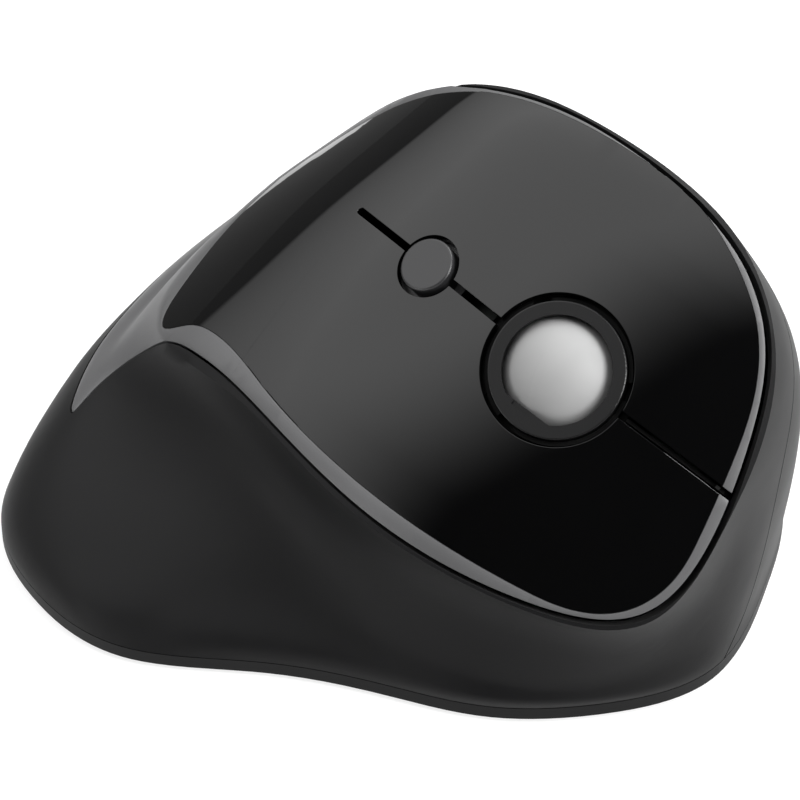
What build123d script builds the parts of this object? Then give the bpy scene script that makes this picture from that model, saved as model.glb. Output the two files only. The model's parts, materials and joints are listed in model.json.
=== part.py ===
from build123d import *
import os
import numpy as np
from scipy.interpolate import CubicSpline, PchipInterpolator

# Right-handed vertical trackball mouse. Millimetres, +X to the user's right, +Y forward, +Z up,
# origin on the table under the middle of the body.

# ---------------------------------------------------------------- driving dimensions
# Lid: the sloping top that carries the buttons, given by the curvature radii of its two directions.
# a runs forward along the slot, b down the right flank, both from the point over the ball.
LID_POINT = (7, 30.4, 50)
LID_PITCH = 17.8
LID_ROLL = 39.2
SPINE_RADII = {-87: 1e6, -86: 70, -70: 67, -45: 62, -20: 71, 10: 95, 45: 111}
CROSS_RADII = {-44: 24.5, -30: 24.5, -16: 200, 0: 200, 44: 200}
RIDGE_BEND_GAIN = 0.25
FLANK_BEND_LOSS = 0.18
BEND_GAIN_SPAN = 30.0

# Stations round the body, clockwise from the nose: the rim on the lid (a, b), the foot (x, y),
# the turn at the rim and the rise at the foot in degrees, and how far each end pulls the wall.
STATIONS = {
    "nose": (33.8, 3, 3, 59.4, 61, 87, 0.45, 0.35),
    "front_right": (33.4, 20.5, 19, 50.9, 66, 85, 0.35, 0.3),
    "right_front": (16, 31, 30.5, 36.4, 70, 82, 0.35, 0.3),
    "waist_front": (-12, 34.6, 36, 20.4, 65, 70, 0.35, 0.35),
    "waist": (-38, 31.8, 43, 1.9, 55, 62, 0.35, 0.4),
    "flare": (-59.5, 32, 52.5, -17.6, 34, 59, 0.34, 0.36),
    "tail": (-72.75, 25.25, 50, -37.6, 13.5, 74, 0.34, 0.335),
    "rear_right": (-78, 9.5, 35.5, -54.6, 14.5, 76, 0.34, 0.32),
    "rear": (-76.5, -6.5, 5, -61.1, 12, 81.5, 0.395, 0.39),
    "rear_left": (-69, -17.75, -20.75, -57.85, 27, 80.5, 0.385, 0.345),
    "thumb_rear": (-53, -26, -42, -40.6, 50, 66, 0.32, 0.38),
    "thumb": (-34, -33, -52, -13.6, 68, 54, 0.3, 0.45),
    "thumb_front": (-11, -36, -52, 13.4, 68, 60, 0.3, 0.4),
    "left_front": (9, -33, -45.5, 37.9, 56, 75, 0.34, 0.36),
    "nose_left": (24, -22, -31.5, 50.4, 56.5, 90.5, 0.375, 0.295),
    "nose_mid": (31, -9, -16.9, 55.9, 57.5, 93.5, 0.43, 0.33),
}
RING_POINTS = 48
WALL_LEVELS = (0.0, 0.14, 0.30, 0.46, 0.62, 0.80, 1.0)
OVERSHOOT = 4.0

# Shells
WALL = 2.2
HEM_TOP = 3.2
BASE_UNDER = 0.9
BASE_PLATE = HEM_TOP - BASE_UNDER
PARTING_GAP = 0.25
GLOSS_GAP = 0.08

# Edge of the satin trim: (station, distance down the wall from the rim, gap beside it), from the
# tip of its tail clockwise and round. Negative distances lie on the lid, inside the rim.
TRIM_EDGE = [
    (6.455, 35, 0.3), (6.37, 32, 0.3), (6.14, 22.8, 0.3), (5.82, 13.3, 0.3), (5.52, 6, 0.33), (5.21, 1.2, 0.38),
    (4.9, -1.4, 0.4), (4.6, -1.9, 0.4), (4.2, -1.4, 0.4), (3.6, -0.9, 0.4), (3, -1, 0.5), (2, -0.9, 0.8),
    (1, -0.9, 1.0), (0, -0.5, 1.0), (-1, -1.3, 1.0), (-2, -0.9, 1.0), (-3, -1.3, 0.8), (-4, -1, 0.7),
    (-5, -0.9, 0.6), (-6, 1, 0.4), (-6.6, 7, 0.3), (-7.2, 17, 0.3), (-7.8, 29, 0.3), (-8.3, 37, 0.3),
    (-8.72, 40.2, 0.3), (-9.17, 38.1, 0.3), (-9.36, 37, 0.3), (-9.47, 36.1, 0.3),
]
# Edge of the glossy cover on the lid, (a, b), from its rear right corner forward and round to it.
GLOSS_EDGE = [
    (-64.5, 30.2), (-60, 27.6), (-54, 26), (-45, 26.4), (-38.6, 27.6), (-32, 28.8), (-22.3, 30), (-9.3, 30.6),
    (3, 30), (14.3, 28.5), (24.2, 25.7), (29.1, 21.9), (31.7, 17.1), (32.4, 12.6), (31.6, 6.3), (30.3, 0.5),
    (28.9, -5), (25.7, -14.4), (19.3, -23.6), (11, -29.4), (1, -33.6), (-11, -34.4), (-34, -31.2),
    (-52, -24.6), (-66, -16), (-74.5, -4), (-75, 9), (-71.3, 20),
]
# Seam between the main shell and the thumb shell, (station, distance down the wall).
SEAM_EDGE = [
    (0.12, 40), (0.04, 34), (-0.18, 32.3), (-0.4, 31.2), (-0.55, 28), (-0.65, 24.2), (-0.76, 19.4),
    (-0.93, 15.7), (-1.2, 12.7), (-1.55, 10.8), (-1.9, 9.7), (-2.25, 8.7), (-2.6, 6.9), (-2.95, 5.4),
    (-3.5, 4.7), (-4.2, 4.5), (-5, 5), (-6, 9), (-6.7, 18), (-7.3, 31), (-7.65, 46), (-7.8, 62), (-7.84, 74),
]

# Ball, its retaining ring, cup and bearings; heights are above the ball's centre
BALL_R = 10.0
BALL_AT = (-0.1, -0.6)
BALL_DEPTH = 8.5
BALL_CLEAR = 0.2
WELL_R = 11.5
RING_R = 10.4
RING_BORE_R = 8.3
RING_FLAT = 7.3
RING_TOP = 7.8
RING_LIP = 1.4
RING_EDGE = 0.25
RING_FOOT = 3.8
RING_SKIRT_R = 9.5
RING_FIT = 0.06
NOTCH_AT = -1.0
NOTCH = (2.9, 0.7, 0.35)
LUG_R = 11.0
LUG = (4.0, 4.8)
LUG_HALF = 7.0
LUG_COUNT = 3
LUG_FIT = 0.05
RING_TWIST = 20.0
CUP_R = 12.1
CUP_SHOULDER = 4.4
COLLAR_R = 11.1
CUP_RIM = 5.9
CUP_FLANGE_R = 14.6
CUP_FLANGE = 1.5
BEARING_R = 1.25
BEARING_FIT = 0.02
BEARING_ANGLE = 118.0
BEARING_TURNS = (30, 150, 270)
SENSOR_WINDOW_R = 4.0
SENSOR_BOARD = (24.0, 14.0)
SENSOR_DROP = 16.0

# Slot between the buttons and the resolution button in it
SLOT_WIDTH = 1.15
REAR_SLOT = ((-44.5, -2.6), (-11, -1.25))
FRONT_SLOT = ((11, -0.9), (33.5, -1))
SEAM_GAP = 0.1
BUTTON_PRESS = 0.9
DPI_A = -26.6
DPI_B = -1.7
DPI_HOLE_R = 5.05
DPI_CAP_R = 4.25
DPI_PROUD = 0.65
DPI_EDGE = 0.4
DPI_FLANGE_R = 5.9
DPI_FLANGE = (-4.0, -3.2)
DPI_TRAVEL = 0.8

# Frame, board and switches under the lid
BOARD = 1.2
BOARD_DEPTH = 14.0
BOARD_SIZE = (56.0, 38.0)
BOARD_AT = -4.0
FRAME_PLATE = 2.0
FRAME_LEG_R = 2.6
FRAME_LEGS = ((20, 13), (20, -14), (-27, 12), (-27, -13))
SWITCH_SIZE = (12.8, 5.8)
SWITCH_HEIGHT = 6.5
SWITCH_KEY = (2.6, 2.0, 0.7)
SWITCH_AT = (16.0, 15.4)
PLUNGER_R = 1.6
PRESS_SPARE = 0.06
RIB = 0.5
RIB_DEPTH = 1.4
RIB_CLEAR = 0.4
RIB_SHORT = 1.4
NUB_DEPTH = 0.5
NUB_LENGTH = 0.7
NUB_BACK = 2.6

# Base plate and what it carries
BATTERY_R = 7.1
BATTERY_LENGTH = 49.0
BATTERY_AT = (-29.0, -5.6, 11.6)
CONTACT = 0.5
BAY_WALL = 1.6
DOOR_SIZE = (18.0, 58.0)
DOOR_GAP = 0.2
DOOR_PLATE = 1.4
FOOT_RISE = 0.9
FOOT_SINK = 0.6
FOOT_PADS = (
    (28, -42.6, 17, 7, -35), (-17, -48.6, 17, 7, 28), (-42, 7.4, 7, 22, 0), (31, 6.4, 7, 20, 10), (-2, 50.4, 24, 6, 0),
)
SHADOW_LINE = 0.15
SHADOW_INSET = 1.1
LIP_INSET = 3.3
LIP = (1.0, 1.2)
SCREW_R = 0.9
SCREW_HEAD_R = 1.9
SCREW_HEAD = 1.2
SCREW_LENGTH = 9.0
BOSS_R = 2.8
BOSS_HEIGHT = 10.0
BOSS_INSET = 4.4
BOSS_SINK = 1.0
MAIN_BOSSES = (1.6, 6.8, 8.1)
THUMB_BOSSES = (9.4, 13.4)
PALM_POSTS = ((-55, 10), (-60, -8), (-52, 22))
PALM_POST_R = 2.6
RECEIVER = (14.0, 6.0, 8.0)
RECEIVER_PLUG = (12.0, 4.5, 9.0)
RECEIVER_AT = (2.0, -39.6)
RECEIVER_FIT = 0.1
DOCK_WALL = 1.2
POWER_AT = (24.0, -15.6)
POWER_KNOB = (3.0, 4.6)
POWER_TRAVEL = 3.0
POWER_FIT = 0.15
MAIN_BOARD = (16.5, 50.0)
MAIN_BOARD_AT = (18.8, 7.4, 6.6)

# Thumb buttons: station, distance down the wall
THUMB_BUTTONS = {"thumb_button_back": (11.05, 13.0), "thumb_button_forward": (12.1, 13.0)}
THUMB_CAP = (19.0, 6.4)
THUMB_PROUD = 0.9
THUMB_GAP = 0.25
THUMB_FLANGE = 1.0
THUMB_FLANGE_DEPTH = (2.45, 3.3)
THUMB_TRAVEL = 0.6
TACT = (5.0, 3.4)
THUMB_BOARD = 12.0
TACT_KEY = (1.5, 0.7)

# ---------------------------------------------------------------- lid surface
N_STATIONS = len(STATIONS)
UP = np.array([0.0, 0.0, 1.0])
_pitch, _roll = np.radians(LID_PITCH), np.radians(LID_ROLL)
FORWARD = np.array([0, np.cos(_pitch), -np.sin(_pitch)])
_down = np.array([0, -np.sin(_pitch), -np.cos(_pitch)])
FLANK = np.cos(_roll) * np.array([1.0, 0, 0]) + np.sin(_roll) * _down
OUT = np.cross(FLANK, FORWARD)
ORIGIN = np.array(LID_POINT, float)
SPINE_TURN = PchipInterpolator(list(SPINE_RADII), [1 / r for r in SPINE_RADII.values()]).antiderivative()
CROSS_TURN = PchipInterpolator(list(CROSS_RADII), [1 / r for r in CROSS_RADII.values()]).antiderivative()
ARC_STEPS = np.linspace(0, 1, 61)


def unit(v):
    return v / np.linalg.norm(v, axis=-1, keepdims=True)


def lid(a, b, inset=0.0):
    """Point of the lid at (a, b), or of its parallel surface inset below it."""
    a, b = np.broadcast_arrays(np.asarray(a, float), np.asarray(b, float))
    s = a[..., None] * ARC_STEPS
    gain = RIDGE_BEND_GAIN * np.clip(-b, 0, None) - FLANK_BEND_LOSS * np.clip(b, 0, None)
    bend = np.where(a < 0, 1 + gain / BEND_GAIN_SPAN, 1.0)[..., None]
    turn = (SPINE_TURN(np.clip(s, min(SPINE_RADII), max(SPINE_RADII))) - SPINE_TURN(0)) * bend
    ahead = np.trapezoid(np.cos(turn), s, axis=-1)[..., None]
    drop = np.trapezoid(np.sin(turn), s, axis=-1)[..., None]
    q = b[..., None] * ARC_STEPS
    tilt = CROSS_TURN(q) - CROSS_TURN(0)
    across = np.trapezoid(np.cos(tilt), q, axis=-1)[..., None]
    fall = np.trapezoid(np.sin(tilt), q, axis=-1)[..., None]
    point = ORIGIN + ahead * FORWARD + across * FLANK - (drop + fall) * OUT
    return point - inset * lid_normal(a, b) if inset else point


def lid_normal(a, b, h=0.3):
    return unit(np.cross(lid(a, b + h) - lid(a, b - h), lid(a + h, b) - lid(a - h, b)))


# ---------------------------------------------------------------- wall surface
_rows = np.array(list(STATIONS.values()), float)
STATION = CubicSpline(np.arange(N_STATIONS + 1), np.vstack([_rows, _rows[:1]]), bc_type="periodic")
NUDGE = 0.05


def rim(s):
    row = STATION(s % N_STATIONS)
    return lid(row[..., 0], row[..., 1])


def foot(s):
    row = STATION(s % N_STATIONS)
    return np.stack([row[..., 2], row[..., 3], np.full(np.shape(s), HEM_TOP)], -1)


def foot_normal(s):
    return unit(np.cross(UP, foot(s + NUDGE) - foot(s - NUDGE)))


def wall(s, t):
    """Point of the outer wall at station s, from t = 0 at the rim to 1 at the foot.

    Below zero, t is minus the distance in millimetres above the rim."""
    row = STATION(s % N_STATIONS)
    top, bottom = rim(s), foot(s)
    normal = lid_normal(row[..., 0], row[..., 1])
    outward = unit(np.cross(normal, rim(s + NUDGE) - rim(s - NUDGE)))
    turn, rise = np.radians(row[..., 4:5]), np.radians(row[..., 5:6])
    leave = np.cos(turn) * outward - np.sin(turn) * normal
    if t < 0:
        return top + leave * t
    arrive = np.sin(rise) * UP - np.cos(rise) * foot_normal(s)
    span = np.linalg.norm(top - bottom, axis=-1, keepdims=True)
    upper = top + leave * row[..., 6:7] * span
    lower = bottom + arrive * row[..., 7:8] * span
    return (1 - t) ** 3 * top + 3 * (1 - t) ** 2 * t * upper + 3 * (1 - t) * t * t * lower + t ** 3 * bottom


def wall_normal(s, t):
    if t >= 1:
        return foot_normal(s)
    t = max(t, 0.0)
    return unit(np.cross(wall(s + NUDGE, t) - wall(s - NUDGE, t), wall(s, t + 0.01) - wall(s, t)))


def skin_point(s, down):
    """Point and outward normal at a distance down the wall from the rim, or up the lid if negative."""
    row = STATION(np.array(s % N_STATIONS))
    lid_n = lid_normal(row[0], row[1])
    if down <= 0:
        along = STATION(np.array((s + NUDGE) % N_STATIONS))[:2] - STATION(np.array((s - NUDGE) % N_STATIONS))[:2]
        inward = unit(np.array([-along[1], along[0]]))
        a, b = row[:2] - down * inward
        return lid(a, b), lid_normal(a, b)
    levels = np.linspace(0, 1, 41)
    path = np.array([wall(np.array(float(s)), t) for t in levels])
    run = np.append(0, np.cumsum(np.linalg.norm(np.diff(path, axis=0), axis=1)))
    if down > run[-1]:
        return path[-1] - UP * (down - run[-1]), wall_normal(np.array(float(s)), 1.0)
    t = float(np.interp(down, run, levels))
    blend = min(1.0, down / RIM_BLEND)
    return wall(np.array(float(s)), t), unit(blend * wall_normal(np.array(float(s)), t) + (1 - blend) * lid_n)


RIM_BLEND = 3.0


# ---------------------------------------------------------------- solids from the surfaces
def closed_curve(points):
    return Edge.make_spline([Vector(*p) for p in points], periodic=True)


def flat_curve(points, z):
    return closed_curve(np.column_stack([points[:, :2], np.full(len(points), z)]))


def wall_solid(inset, foot_z, top_z=92.0):
    """Solid inside the wall, carried straight up above the rim and straight down below the foot."""
    s = np.arange(RING_POINTS) * N_STATIONS / RING_POINTS
    levels = (-OVERSHOOT,) + WALL_LEVELS
    rings = [wall(s, t) - inset * wall_normal(s, t) for t in levels]
    curves = [Wire([closed_curve(ring)]) for ring in rings]
    low, high = curves[-1], Wire([flat_curve(rings[0], top_z)])
    faces = Shell.make_loft(curves, ruled=False).faces()
    faces += Shell.make_loft([high, curves[0]], ruled=True).faces()
    if foot_z < HEM_TOP:
        low = Wire([flat_curve(rings[-1], foot_z)])
        faces += Shell.make_loft([curves[-1], low], ruled=True).faces()
    return Solid(Shell(faces + [Face(low), Face(high)]))


def above_lid(inset):
    """Everything above the lid, or above its parallel surface inset below it."""
    a, b = np.meshgrid(np.linspace(-102, 46, 38), np.linspace(-44, 44, 23), indexing="ij")
    grid = [[Vector(*p) for p in row] for row in lid(a, b, inset)]
    face = Face.make_surface_from_array_of_points(grid, tol=0.005)
    return Solid.extrude(face, Vector(0, 0, 110))


def biggest(shape):
    return max(shape.solids(), key=lambda solid: solid.volume)


def groove(rows, place, out, depth, closed=False, between=3):
    """Cutter for a groove along a curve on the skin: rows give its two coordinates and its width there."""
    rows = rows + rows[:1] if closed else rows
    ends = "periodic" if closed else "natural"
    spots = [place(first, second) for first, second, _ in rows]
    points, normals = np.array([s[0] for s in spots]), np.array([s[1] for s in spots])
    knots = np.append(0, np.cumsum(np.linalg.norm(np.diff(points, axis=0), axis=1)))
    path, lean = CubicSpline(knots, points, bc_type=ends), CubicSpline(knots, normals, bc_type=ends)
    at = np.concatenate([np.linspace(p, q, between, endpoint=False) for p, q in zip(knots, knots[1:])])
    at = at if closed else np.append(at, knots[-1])
    normal = unit(lean(at))
    side = unit(np.cross(normal, path(at, 1))) * np.interp(at, knots, [row[2] for row in rows])[:, None] / 2
    high, low = path(at) + normal * out, path(at) - normal * depth
    corners = [high + side, high - side, low - side, low + side]
    if not closed:
        sections = [Wire.make_polygon([Vector(*c[i]) for c in corners], close=True) for i in range(len(at))]
        return Solid.make_loft(sections, ruled=False)
    curves = [Wire([closed_curve(corner)]) for corner in corners]
    faces = []
    for first, second in zip(curves, curves[1:] + curves[:1]):
        faces += Shell.make_loft([first, second], ruled=True).faces()
    return Solid(Shell(faces))


def on_lid(a, b):
    return lid(a, b), lid_normal(a, b)


def local_plane(a, b, depth=0.0):
    """Plane on the lid at (a, b): x forward, z outwards, its origin depth below the surface."""
    normal = lid_normal(a, b)
    ahead = unit(lid(a + 0.3, b) - lid(a - 0.3, b))
    return Plane(Vector(*(lid(a, b) - depth * normal)), x_dir=Vector(*ahead), z_dir=Vector(*normal))


def disc(plane, radius, low, high, bore=0.0, x=0.0, y=0.0):
    """Cylinder or tube square to a plane, between two heights above it."""
    at = plane.location * Pos(x, y, low)
    tube = at * Solid.make_cylinder(radius, high - low)
    return tube - at * Pos(0, 0, -1) * Solid.make_cylinder(bore, high - low + 2) if bore else tube


def slab(plane, x, y, low, high, x0=0.0, y0=0.0):
    """Box x by y square to a plane, centred on (x0, y0), between two heights above it."""
    return plane.location * Pos(x0 - x / 2, y0 - y / 2, low) * Solid.make_box(x, y, high - low)


def pill(plane, x, y, low, high, corner, x0=0.0, y0=0.0):
    """The same with rounded corners."""
    outline = plane.location * Pos(x0, y0, low) * RectangleRounded(x, y, corner)
    return extrude(outline, amount=high - low, dir=plane.z_dir).solid()


def sector(plane, radius, bore, low, high, first, last):
    """Part of a tube between two angles from the plane's x, in degrees."""
    middle, half = np.radians((first + last) / 2), np.radians((last - first) / 2)
    reach = radius / np.cos(half) * 1.3
    corners = [(0, 0)] + [(reach * np.cos(middle + k * half), reach * np.sin(middle + k * half)) for k in (-1, 0, 1)]
    wedge = extrude(plane.location * Pos(0, 0, low) * Polygon(*corners, align=None), amount=high - low, dir=plane.z_dir)
    return (disc(plane, radius, low, high, bore) & wedge).solid()


def inset_foot(s, inset):
    spot = foot(np.array(float(s))) - inset * foot_normal(np.array(float(s)))
    return float(spot[0]), float(spot[1])


def foot_ring(inset, z, height):
    """Plate with the outline of the body's foot, drawn in by an inset."""
    s = np.arange(RING_POINTS) * N_STATIONS / RING_POINTS
    outline = Wire([flat_curve(foot(s) - inset * foot_normal(s), z)])
    return Solid.extrude(Face(outline), Vector(0, 0, height))


def biggest_of(shape, count=2):
    return sorted(shape.solids(), key=lambda solid: solid.volume)[-count:]


def fitted(pieces, tool, inside=False):
    """Each piece with a tool cut from it, or only what lies inside the tool: the biggest part left."""
    left = (Compound(pieces) & tool if inside else Compound(pieces) - tool).solids()
    result = []
    for piece in pieces:
        box, middle = piece.bounding_box(), piece.center()
        own = [s for s in left if (s.center() - middle).length < box.diagonal / 2]
        result.append(max(own, key=lambda s: s.volume))
    return result


BALL = lid(*BALL_AT) - BALL_DEPTH * OUT
CUP = Plane(Vector(*BALL), x_dir=Vector(*FORWARD), z_dir=Vector(*OUT))
TABLE = Plane.XY
parts = {}

# ---------------------------------------------------------------- shells and panel
outer = biggest(wall_solid(0, HEM_TOP) - above_lid(0))
inner = biggest(wall_solid(WALL, 0) - above_lid(WALL))
skin = biggest(outer - inner)
panel, shell = biggest_of(skin - groove(TRIM_EDGE, skin_point, 2.5, 5.0, closed=True))
halves = biggest_of(shell - groove([(s, d, PARTING_GAP) for s, d in SEAM_EDGE], skin_point, 2.0, 5.0))
thumb_shell, main_shell = sorted(halves, key=lambda s: s.bounding_box().max.X)
gloss_rows = [(a, b, GLOSS_GAP) for a, b in GLOSS_EDGE]
pieces = (panel - groove(gloss_rows, on_lid, 2.0, 5.0, closed=True)).solids()
trim, cover = sorted(pieces, key=lambda s: s.bounding_box().min.Z)[:2]
# Slot between the fingers, well, button hole and the seam behind the buttons
def slot_plane(first, second):
    """Plane along a stretch of the slot: x from its first point to its second, z out of the lid."""
    start = lid(*first)
    run = lid(*second) - start
    return Plane(Vector(*start), x_dir=Vector(*(run - run.dot(OUT) * OUT)), z_dir=Vector(*OUT))


SLOT, NOSE_SLOT = slot_plane(*REAR_SLOT), slot_plane(*FRONT_SLOT)
SEAM = local_plane(*REAR_SLOT[0])
DPI = local_plane(DPI_A, DPI_B)
reach = SLOT.to_local_coords(Vector(*BALL)).X - WELL_R / 2
slot_cuts = [slab(SLOT, reach, SLOT_WIDTH, -45, 25, x0=reach / 2),
             slab(NOSE_SLOT, 60, SLOT_WIDTH, -45, 25, x0=30 - WELL_R / 2)]
seam_cut = slab(SEAM, SEAM_GAP, 120, -60, 30)
hole_cuts = [disc(CUP, WELL_R, -20, 30), disc(DPI, DPI_HOLE_R, -8, 8), disc(SEAM, SLOT_WIDTH / 2, -8, 8)]


def split_panel(piece):
    """Cut a layer of the panel into its rear, left and right parts."""
    piece = piece - slot_cuts - hole_cuts - [seam_cut]
    found = [s for s in piece.solids() if s.volume > 1]
    rear = [s for s in found if SEAM.to_local_coords(s.center()).X < 0]
    front = [s for s in found if s not in rear]
    side = {s: SLOT.to_local_coords(s.center()).Y for s in front}
    return rear, [s for s in front if side[s] > 0], [s for s in front if side[s] < 0]


palm_trim, left_trim, right_trim = split_panel(trim)
palm_cover, left_cover, right_cover = split_panel(cover)


def joined(pieces):
    return pieces[0] if len(pieces) == 1 else Compound(pieces)


parts["palm_trim"] = joined(palm_trim)
parts["left_button_trim"] = joined(left_trim)
parts["right_button_trim"] = joined(right_trim)

# ---------------------------------------------------------------- ball, ring and cup
bore = RING_R + RING_FIT
hollow = Plane(CUP.origin).location * Solid.make_sphere(bore)
parts["trackball"] = Plane(CUP.origin).location * Solid.make_sphere(BALL_R)

ring = disc(CUP, RING_R, RING_FOOT, RING_TOP, RING_SKIRT_R)
mouth = disc(CUP, RING_BORE_R, 0, RING_TOP + 1) - slab(CUP, 40, 40, -1, RING_TOP + 2, y0=-RING_FLAT - 20)
lip_disc = disc(CUP, RING_R, RING_TOP - RING_LIP, RING_TOP)
notch = slab(CUP, NOTCH[0], 2 * NOTCH[1], RING_TOP - NOTCH[2], RING_TOP + 1, x0=NOTCH_AT, y0=-RING_FLAT)
around_ball = Plane(CUP.origin).location * Solid.make_sphere(BALL_R + BALL_CLEAR)
ring = (ring + lip_disc - mouth - notch - around_ball).solid()
top_rim = [e for e in ring.edges().filter_by(GeomType.CIRCLE)
           if abs(e.radius - RING_R) < 0.01 and CUP.to_local_coords(e.center()).Z > RING_TOP - 0.1]
ring = ring.fillet(RING_EDGE, top_rim)
turns = [360 / LUG_COUNT * k for k in range(LUG_COUNT)]
for turn in turns:
    lug = sector(CUP, LUG_R, RING_R - 0.3, LUG[0], LUG[1], turn - LUG_HALF, turn + LUG_HALF)
    ring = (ring + lug).solid()
parts["retaining_ring"] = ring

cup = disc(CUP, CUP_R, -2, CUP_SHOULDER) + Plane(CUP.origin).location * Solid.make_sphere(CUP_R)
cup -= slab(CUP, 60, 60, CUP_SHOULDER, 30)
cup += disc(CUP, COLLAR_R, 0, CUP_RIM)
flange_low = BALL_DEPTH - BOARD_DEPTH - BOARD
cup += disc(CUP, CUP_FLANGE_R, flange_low, flange_low + CUP_FLANGE)
bearing_sites = []
for turn in BEARING_TURNS:
    polar, around = np.radians(BEARING_ANGLE), np.radians(turn)
    aim = Vector(np.sin(polar) * np.cos(around), np.sin(polar) * np.sin(around), np.cos(polar))
    site = CUP.from_local_coords(aim * (BALL_R + BEARING_R + BEARING_FIT))
    bearing_sites.append(site)
    cup += Pos(*site) * Solid.make_sphere(BEARING_R + 1.3)
cup -= hollow
cup -= disc(CUP, bore, 0, 20)
for site in bearing_sites:
    pocket = Plane(site, z_dir=site - CUP.origin).location
    cup -= pocket * Solid.make_sphere(BEARING_R + BEARING_FIT)
for turn in turns:
    window = (turn - LUG_HALF - 0.6, turn + LUG_HALF + RING_TWIST + 0.6)
    entry = (turn - LUG_HALF + RING_TWIST - 0.6, window[1])
    cup -= sector(CUP, CUP_R + 1, RING_R - 0.5, LUG[0] - LUG_FIT, LUG[1] + LUG_FIT, *window)
    cup -= sector(CUP, CUP_R + 1, RING_R - 0.5, LUG[0] - LUG_FIT, CUP_RIM + 1, *entry)
cup -= disc(CUP, SENSOR_WINDOW_R, -20, -5)
cup = biggest(cup)
leg_reach = SENSOR_BOARD[0] / 2 - 2
for x in (-leg_reach, leg_reach):
    leg = disc(CUP, 1.6, -SENSOR_DROP, flange_low + 0.5, x=x)
    cup = (cup + (leg - Plane(CUP.origin).location * Solid.make_sphere(CUP_R - 0.7))).solid()
parts["ball_cup"] = cup
parts["ball_bearings"] = Compound([Pos(*site) * Solid.make_sphere(BEARING_R) for site in bearing_sites])

board = pill(CUP, *SENSOR_BOARD, -SENSOR_DROP - BOARD, -SENSOR_DROP, 2)
chip = slab(CUP, 9, 9, -SENSOR_DROP, -SENSOR_DROP + 1.4)
lens = disc(CUP, SENSOR_WINDOW_R - 0.4, -SENSOR_DROP + 1.4, -bore - 0.6)
parts["sensor_board"] = (board + chip + lens).solid()

# ---------------------------------------------------------------- frame, board and switches
board_top = BALL_DEPTH - BOARD_DEPTH
frame_top = board_top - BOARD
frame = pill(CUP, *BOARD_SIZE, frame_top - FRAME_PLATE, frame_top, 4, x0=BOARD_AT)
frame -= disc(CUP, CUP_R + 0.3, -30, 10)
for x in (-leg_reach, leg_reach):
    frame -= disc(CUP, 2.0, -30, 10, x=x)
above_frame = slab(CUP, 200, 200, frame_top - FRAME_PLATE / 2, 90)
feet_spots = []
for x, y in FRAME_LEGS:
    spot = CUP.from_local_coords(Vector(x, -y, frame_top))
    feet_spots.append(spot)
    leg = disc(TABLE, FRAME_LEG_R, HEM_TOP, spot.Z + 12, x=spot.X, y=spot.Y)
    flare = disc(TABLE, FRAME_LEG_R + 1.6, HEM_TOP, HEM_TOP + 2, x=spot.X, y=spot.Y)
    frame += (leg + flare) - above_frame
for first, second in ((0, 1), (2, 3)):
    p, q = feet_spots[first], feet_spots[second]
    corners = [(p.X, p.Y, HEM_TOP + 8), (q.X, q.Y, HEM_TOP + 8), (q.X, q.Y, q.Z + 12), (p.X, p.Y, p.Z + 12)]
    across = Vector(*unit(np.array([p.Y - q.Y, q.X - p.X, 0.0])))
    web = extrude(Face(Wire.make_polygon([Vector(*c) for c in corners])), amount=0.8, dir=across, both=True)
    frame += web - above_frame
frame -= disc(CUP, CUP_R + 0.3, -30, 10)
parts["inner_frame"] = biggest(frame)

board = pill(CUP, *BOARD_SIZE, frame_top, board_top, 4, x0=BOARD_AT) - disc(CUP, CUP_FLANGE_R + 0.3, -20, 10)
parts["button_board"] = biggest(board)


def microswitch(x, y):
    body = slab(CUP, *SWITCH_SIZE, board_top, board_top + SWITCH_HEIGHT, x0=x, y0=y)
    key = slab(CUP, SWITCH_KEY[0], SWITCH_KEY[1], board_top + 5, board_top + SWITCH_HEIGHT + SWITCH_KEY[2], x0=x, y0=y)
    return (body + key).solid()


def plunger(x, y):
    """Rib under a button that reaches its switch when the button is pressed home."""
    travel = (x - REAR_SLOT[0][0]) * np.radians(BUTTON_PRESS)
    low = board_top + SWITCH_HEIGHT + SWITCH_KEY[2] + travel + PRESS_SPARE
    return disc(CUP, PLUNGER_R, low, 20, x=x, y=y)


parts["left_switch"] = microswitch(SWITCH_AT[0], SWITCH_AT[1])
parts["right_switch"] = microswitch(SWITCH_AT[0], -SWITCH_AT[1])
palm_spots = [lid(a, b) for a, b in PALM_POSTS]
stems = [disc(TABLE, PALM_POST_R, HEM_TOP, spot[2] + 10, x=spot[0], y=spot[1]) for spot in palm_spots]
rods = [plunger(SWITCH_AT[0], y) for y in (SWITCH_AT[1], -SWITCH_AT[1])]
left_rod, right_rod, *stems = fitted(rods + stems, above_lid(WALL - 0.6))
parts["left_button"] = joined(left_cover).fuse(left_rod).solid()
parts["right_button"] = joined(right_cover).fuse(right_rod).solid()
parts["palm_cover"] = joined(palm_cover).fuse(*stems).solid()

cap = disc(DPI, DPI_CAP_R, DPI_FLANGE[1] - 0.3, DPI_PROUD)
cap = cap.fillet(DPI_EDGE, [cap.edges().sort_by(lambda e: DPI.to_local_coords(e.center()).Z)[-1]])
cap += disc(DPI, DPI_FLANGE_R, *DPI_FLANGE) + disc(DPI, 1.6, DPI_FLANGE[0] - 0.2, DPI_FLANGE[0])
parts["dpi_button"] = cap.solid()
key_top = DPI_FLANGE[0] - 0.2 - DPI_TRAVEL - PRESS_SPARE
tact = slab(DPI, TACT[0] + 1, TACT[0] + 1, -14, key_top - TACT_KEY[1]) + disc(DPI, TACT_KEY[0], -7, key_top)
parts["dpi_switch"] = biggest(tact - slab(CUP, 200, 200, -60, board_top))

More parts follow.
